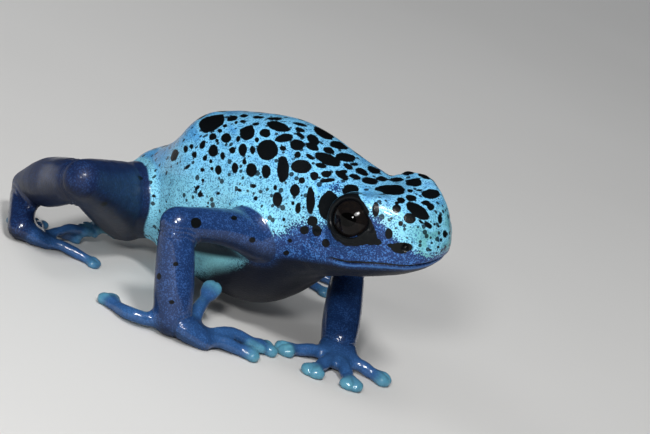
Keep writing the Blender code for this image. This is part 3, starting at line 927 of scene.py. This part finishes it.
skinFinish = {
    "sky": tone(0.24, 0.64, 0.82),
    # the skin that faces up, painted darker and bluer as shade
    "paintedTopShadeSky": tone(0.10, 0.38, 0.72),
    "net": tone(0.25, 0.66, 0.92),  # brighter skin close to the marks
    "skySpeck": tone(0.02, 0.10, 0.24),
    "royal": tone(0.010, 0.035, 0.135),
    "royalFleck": tone(0.06, 0.20, 0.54),
    "limb": tone(0.009, 0.030, 0.105),
    "limbFleck": tone(0.04, 0.12, 0.36),
    "hindLimb": tone(0.007, 0.016, 0.058),
    "digit": tone(0.034, 0.11, 0.28),
    "disc": tone(0.10, 0.31, 0.40),
    "chin": tone(0.004, 0.006, 0.014),
    "snout": tone(0.10, 0.33, 0.32),
    "paleFlank": tone(0.20, 0.50, 0.50),
    "mark": tone(0.003, 0.004, 0.005),
    # a painted highlight along the lower lip
    "lip": tone(0.05, 0.16, 0.42),
    # the colour of the painted highlight on the snout's sides
    "paintedSnoutHighlight": tone(0.42, 0.78, 0.90),
    "lidLine": tone(0.06, 0.17, 0.27),
    "shares": {  # of these colours, where each lies fully
        "paintedSnoutHighlight": 0.6, "snout": 0.8, "net": 0.6, "paleFlank": 0.7, "skySpeck": 0.7, "dots": 0.9,
        "royalFleck": 0.75, "paintedArmShadow": 0.96, "limbFleck": 0.46, "paintedUnderShade": 0.75, "lip": 0.6, "lidLine": 0.6,
    },
    "softScale": 0.35,
    "patchScale": 1.1,
    "fineScale": 6.2,
    "markScale": 1.5,  # of the noise that moves a mark's edge
    "markWarp": 0.11,  # and how far it does
    "markEdge": 0.03,
    "netReach": (-0.45, -0.08),
    "speckFade": (0.1, 0.2),
    "fleckFade": (0.5, 0.62),
    "dotsPerMm": 1.7,
    "dotSize": (0.9, 0.27),  # of a cell's random number, and less
    "dotEdge": 0.06,
    "mingling": (1.5, 0.5),  # of light and dark skin, by the fine and the soft noise
    "mingledFade": (0.36, 0.64),
    "limbFade": (0.4, 0.6),
    "lipBelow": 0.34,  # how far the lower lip's painted highlight lies below the mouth's line
    "lipFade": (0.05, 0.16),
    # painted shade along the mouth's crease and in the nostrils: over which it comes in
    "creaseFade": (0.08, 0.2),
    "nostrilFade": (0.3, 0.7),
    "roughness": 0.34,
    "mattRoughness": 0.16,  # more, where the skin is matt
    "specular": 0.13,
    "coat": 0.46,
    "mattCoat": 0.85,  # less of it, on matt skin and on marks
    "coatRoughness": 0.08,
    "grainSize": 0.19,
    "grainHeight": 0.02,
}


def skinMaterial():
    use, amount = skinFinish, skinFinish["shares"]
    shader = Shader("frogSkin")
    place = shader.field("bodyPlace", "Vector")
    soft = shader.noise(place, use["softScale"])
    patchy = shader.noise(place, use["patchScale"], 2.0)
    fine = shader.noise(place, use["fineScale"])
    grain = shader.cells(place, 1 / use["grainSize"])
    edge = shader.noise(place, use["markScale"]) - 0.5
    warped = shader.field("markReach") + edge * (2 * use["markWarp"])
    mark = warped.over(-use["markEdge"], use["markEdge"])

    # Light skin with dark specks, dark skin with light flecks, and both mingled between them.
    plain = shader.field("plain")
    # Painted shade on the skin that faces up.
    sky = shader.mixed(use["sky"], use["paintedTopShadeSky"], shader.field("paintedTopShade"))
    # Painted highlight on the snout's sides.
    sky = shader.mixed(sky, use["paintedSnoutHighlight"], shader.field("paintedSnoutHighlight") * amount["paintedSnoutHighlight"])
    sky = shader.mixed(sky, use["snout"], shader.field("snout") * amount["snout"])
    sky = shader.mixed(sky, use["net"], warped.over(*use["netReach"]) * amount["net"])
    sky = shader.mixed(sky, use["paleFlank"], plain * amount["paleFlank"])
    specks = (0.46 - fine * 0.9 + patchy * 0.2).over(*use["speckFade"])
    sky = shader.mixed(sky, use["skySpeck"], specks * (amount["skySpeck"] - plain * 0.6))
    # A cell's colour is read as a grey value here: a random number for each cell.
    pick = shader.cells(place, use["dotsPerMm"], "Color")
    most, less = use["dotSize"]
    dots = (pick * most - less - shader.cells(place, use["dotsPerMm"])).over(0.0, use["dotEdge"])
    sky = shader.mixed(sky, use["mark"], dots * (amount["dots"] - plain))
    flecks = (fine + patchy * 0.3 - 0.15).over(*use["fleckFade"])
    royal = shader.mixed(use["royal"], use["royalFleck"], flecks * amount["royalFleck"])
    royal = shader.mixed(royal, use["chin"], shader.field("chin"))
    byFine, bySoft = use["mingling"]
    mingled = ((fine - 0.5) * byFine + (soft - 0.5) * bySoft) * (1 - plain * 0.85)
    low, high = use["mingledFade"]
    light = (shader.field("light") + mingled).over(low - plain * 0.3, high + plain * 0.3)
    colour = shader.mixed(royal, sky, light)
    # Painted shadow under the arm, in the chin's near-black colour.
    colour = shader.mixed(colour, use["chin"], shader.field("paintedArmShadow") * amount["paintedArmShadow"])

    limbs, hind, matt = shader.field("limb"), shader.field("hind"), shader.field("matt")
    limb = shader.mixed(use["limb"], use["hindLimb"], hind)
    limb = shader.mixed(limb, use["limbFleck"], flecks * (amount["limbFleck"] - hind * 0.22))
    # Painted shade on the limbs' undersides, in the chin's colour.
    limb = shader.mixed(limb, use["chin"], shader.field("paintedUnderShade") * amount["paintedUnderShade"])
    limb = shader.mixed(limb, use["digit"], shader.field("digit") * (0.6 + flecks * 0.4))
    limb = shader.mixed(limb, use["disc"], shader.field("disc") * (0.3 + patchy * 0.9))
    colour = shader.mixed(colour, limb, (limbs + (fine - 0.5) * 0.3).over(*use["limbFade"]))

    shade = (0.8 + soft * 0.4) * (0.9 + grain.over(0.1, 0.5) * 0.12)
    shadeColour = shader.node("ShaderNodeCombineColor", {}, {0: shade, 1: shade, 2: shade})
    colour = shader.mixed(colour, shadeColour, 1.0, "MULTIPLY")
    mouth, inMouth = shader.field("mouthOffset"), shader.field("mouthShare")
    # A painted highlight: a lighter blue band along the lower lip.
    lip = (1 - (mouth + use["lipBelow"]).size().over(*use["lipFade"])) * inMouth
    colour = shader.mixed(colour, use["lip"], lip * amount["lip"])
    colour = shader.mixed(colour, use["lidLine"], shader.field("lidLine").over(0.3, 0.9) * amount["lidLine"])
    colour = shader.mixed(colour, use["mark"], mark)
    # Painted shade: the mouth's crease and the nostrils' pits are darkened to the marks' black.
    crease = (1 - mouth.size().over(*use["creaseFade"])) * inMouth
    paintedCreaseShade = (crease + shader.field("nostrilPit").over(*use["nostrilFade"])).over(0.0, 1.0)
    colour = shader.mixed(colour, use["mark"], paintedCreaseShade)

    wet = (1 - matt * use["mattCoat"]) * (1 - mark * use["mattCoat"])
    return shader.finish({
        "Base Color": colour,
        "Roughness": use["roughness"] + (fine - 0.5) * 0.25 + matt * use["mattRoughness"],
        "Specular IOR Level": use["specular"],
        "Coat Weight": use["coat"] * (0.5 + patchy + limbs * 0.6) * wet,
        "Coat Roughness": use["coatRoughness"],
        "Normal": shader.bump(grain * 0.8 + fine * 0.6 + patchy * 0.8, use["grainHeight"]),
    })


def addField(mesh, name, values):
    kind, key = ("FLOAT", "value") if values.ndim == 1 else ("FLOAT_VECTOR", "vector")
    mesh.attributes.new(name, kind, "POINT").data.foreach_set(key, values.astype(np.float32).ravel())


def addSkin():
    mesh = bpy.data.meshes.new("frogSkin")
    mesh.from_pydata((skin.points * mm).tolist(), [], skin.faces.tolist())
    mesh.shade_smooth()
    for name, values in fields.items():
        addField(mesh, name, values)
    addField(mesh, "bodyPlace", toBody(skin.points))
    thing = linked("frogSkin", mesh)
    mesh.materials.append(skinMaterial())
    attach(thing, "root")
    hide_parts(*fleshNodes)


addSkin()
stage("skin made")


# Eyes: each a wet dark ball with a level oval pupil.
eyeForm = {
    "radius": 2.33,
    "cornea": 0.12,  # how far the clear front bulges
    "corneaAngle": 40.0,
    "rings": 48,
    "turns": 64,
    "pupil": (0.4, 0.3),  # half width and half height, of the ball's radius
}
eyeFinish = {
    "iris": tone(0.006, 0.005, 0.005),
    "irisFlecks": tone(0.014, 0.010, 0.007),
    "pupil": tone(0.0008, 0.0008, 0.0008),
    "rim": tone(0.003, 0.004, 0.008),
    "fleckShare": 0.5,
    "pupilEdge": (0.9, 1.05),
    "rimAngles": (50, 58),  # degrees from the gaze
    "roughness": 0.06,
    "specular": 0.13,
}


def eyeMaterial():
    use = eyeFinish
    shader = Shader("frogEye")
    place = shader.field("eyePlace", "Vector")
    gaze = shader.field("gaze")
    flecks = shader.noise(place, 5.0, 4.0).over(0.45, 0.75)
    colour = shader.mixed(use["iris"], use["irisFlecks"], flecks * use["fleckShare"])
    colour = shader.mixed(colour, use["pupil"], 1 - shader.field("pupilReach").over(*use["pupilEdge"]))
    colour = shader.mixed(colour, use["rim"], gaze.over(*use["rimAngles"]))
    return shader.finish({
        "Base Color": colour,
        "Roughness": use["roughness"],
        "Specular IOR Level": use["specular"],
    })


def ball(gaze, level, upward):
    # Points on a ball of radius one, from the gaze backwards, and its faces.
    count = eyeForm["turns"]
    angles = np.linspace(0, math.pi, eyeForm["rings"] + 1)[1:-1]
    turns = np.arange(count) * 2 * math.pi / count
    points = [gaze]
    for angle in angles:
        for turn in turns:
            flat = math.cos(turn) * level + math.sin(turn) * upward
            points.append(gaze * math.cos(angle) + flat * math.sin(angle))
    points = np.array(points + [-gaze])
    faces = []
    for turn in range(count):
        after = (turn + 1) % count
        faces.append((0, 1 + turn, 1 + after))
        for ring in range(len(angles) - 1):
            base = 1 + ring * count
            faces.append((base + turn, base + count + turn, base + count + after, base + after))
        last = 1 + (len(angles) - 1) * count
        faces.append((last + turn, len(points) - 1, last + after))
    return points, faces


def addEye(side, material):
    name = "left" if side > 0 else "right"
    use = eyeForm
    gaze = unit(onSide(head["eyeAxis"], side))
    level = unit(np.cross((0, 0, 1), gaze))
    upward = np.cross(gaze, level)
    points, faces = ball(gaze, level, upward)
    away = np.degrees(np.arccos(np.clip(points @ gaze, -1, 1)))
    bulge = 1 - smoothStep(0, use["corneaAngle"], away)
    radius = use["radius"] + use["cornea"] * bulge
    wide, high = use["pupil"]
    pupilReach = np.sqrt((points @ level / wide) ** 2 + (points @ upward / high) ** 2)
    pupilReach = pupilReach + (away > 90) * 9  # none on the ball's back
    middle = nodeMiddle("eye_" + name)
    placed = (points * radius[:, None]) @ axes.T + middle
    mesh = bpy.data.meshes.new("eyeball_" + name)
    mesh.from_pydata((placed * mm).tolist(), [], faces)
    mesh.shade_smooth()
    addField(mesh, "gaze", away)
    addField(mesh, "pupilReach", pupilReach)
    addField(mesh, "eyePlace", points)
    thing = linked("eyeball_" + name, mesh)
    mesh.materials.append(material)
    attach(thing, "root")
    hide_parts("eye_" + name)


eyeSkin = eyeMaterial()
for side in (1, -1):
    addEye(side, eyeSkin)
stage("eyes made")


# A plain pale floor and soft light from above the camera.
studio = {
    "floorSize": 3.0,  # metres, as are the lights' distances
    "floor": tone(0.60, 0.59, 0.57),
    "floorPatches": tone(0.74, 0.73, 0.71),
    "patchScale": 9.0,
    "floorRoughness": 0.75,
    "sky": tone(0.80, 0.84, 0.90),
    "skyStrength": 0.26,
    "look": "Standard",
}
lamps = {  # turned to the right of the front, and raised, by degrees
    "keyLight": {"turn": 44, "height": 50, "distance": 0.5, "size": 0.08, "power": 1.2},
    "topLight": {"turn": 10, "height": 82, "distance": 0.6, "size": 0.22, "power": 0.4, "glossy": False},
    "shineLight": {"turn": 40, "height": 46, "distance": 0.5, "size": 0.17, "power": 1.8, "diffuse": False},
    "frontLight": {"turn": 28, "height": 26, "distance": 0.5, "size": 0.07, "power": 1.2},
    "fillLight": {"turn": -35, "height": 40, "distance": 0.6, "size": 0.2, "power": 0.3, "glossy": False},
}


def addFloor():
    half = studio["floorSize"] / 2
    mesh = bpy.data.meshes.new("floor")
    corners = [(-half, -half, 0), (half, -half, 0), (half, half, 0), (-half, half, 0)]
    mesh.from_pydata(corners, [], [(0, 1, 2, 3)])
    thing = linked("floor", mesh)
    shader = Shader("paleFloor")
    place = shader.node("ShaderNodeTexCoord", {}, {}, "Object")
    cloudy = shader.noise(place, studio["patchScale"])
    colour = shader.mixed(studio["floor"], studio["floorPatches"], cloudy)
    mesh.materials.append(shader.finish({"Base Color": colour, "Roughness": studio["floorRoughness"]}))


def addLamp(name, turn, height, distance, size, power, glossy=True, diffuse=True):
    data = bpy.data.lights.new(name, "AREA")
    data.shape = "DISK"
    data.size = size
    data.energy = power
    thing = linked(name, data)
    thing.visible_glossy = glossy  # a wide light would lie on the black marks as a pale haze
    thing.visible_diffuse = diffuse
    turn, height = math.radians(turn), math.radians(height)
    level = math.cos(height)
    back = Vector((math.sin(turn) * level, -math.cos(turn) * level, math.sin(height)))
    aim = back.to_track_quat("Z", "Y").to_matrix().to_4x4()
    thing.matrix_world = Matrix.Translation(back * distance) @ aim


def addStudio():
    addFloor()
    world = bpy.data.worlds.new("studio")
    world.use_nodes = True
    background = world.node_tree.nodes["Background"]
    background.inputs["Color"].default_value = studio["sky"]
    background.inputs["Strength"].default_value = studio["skyStrength"]
    world.cycles_visibility.glossy = False  # or the black marks turn grey
    bpy.context.scene.world = world
    bpy.context.scene.view_settings.view_transform = studio["look"]
    for name, values in lamps.items():
        addLamp(name, **values)


addStudio()
stage("studio set")
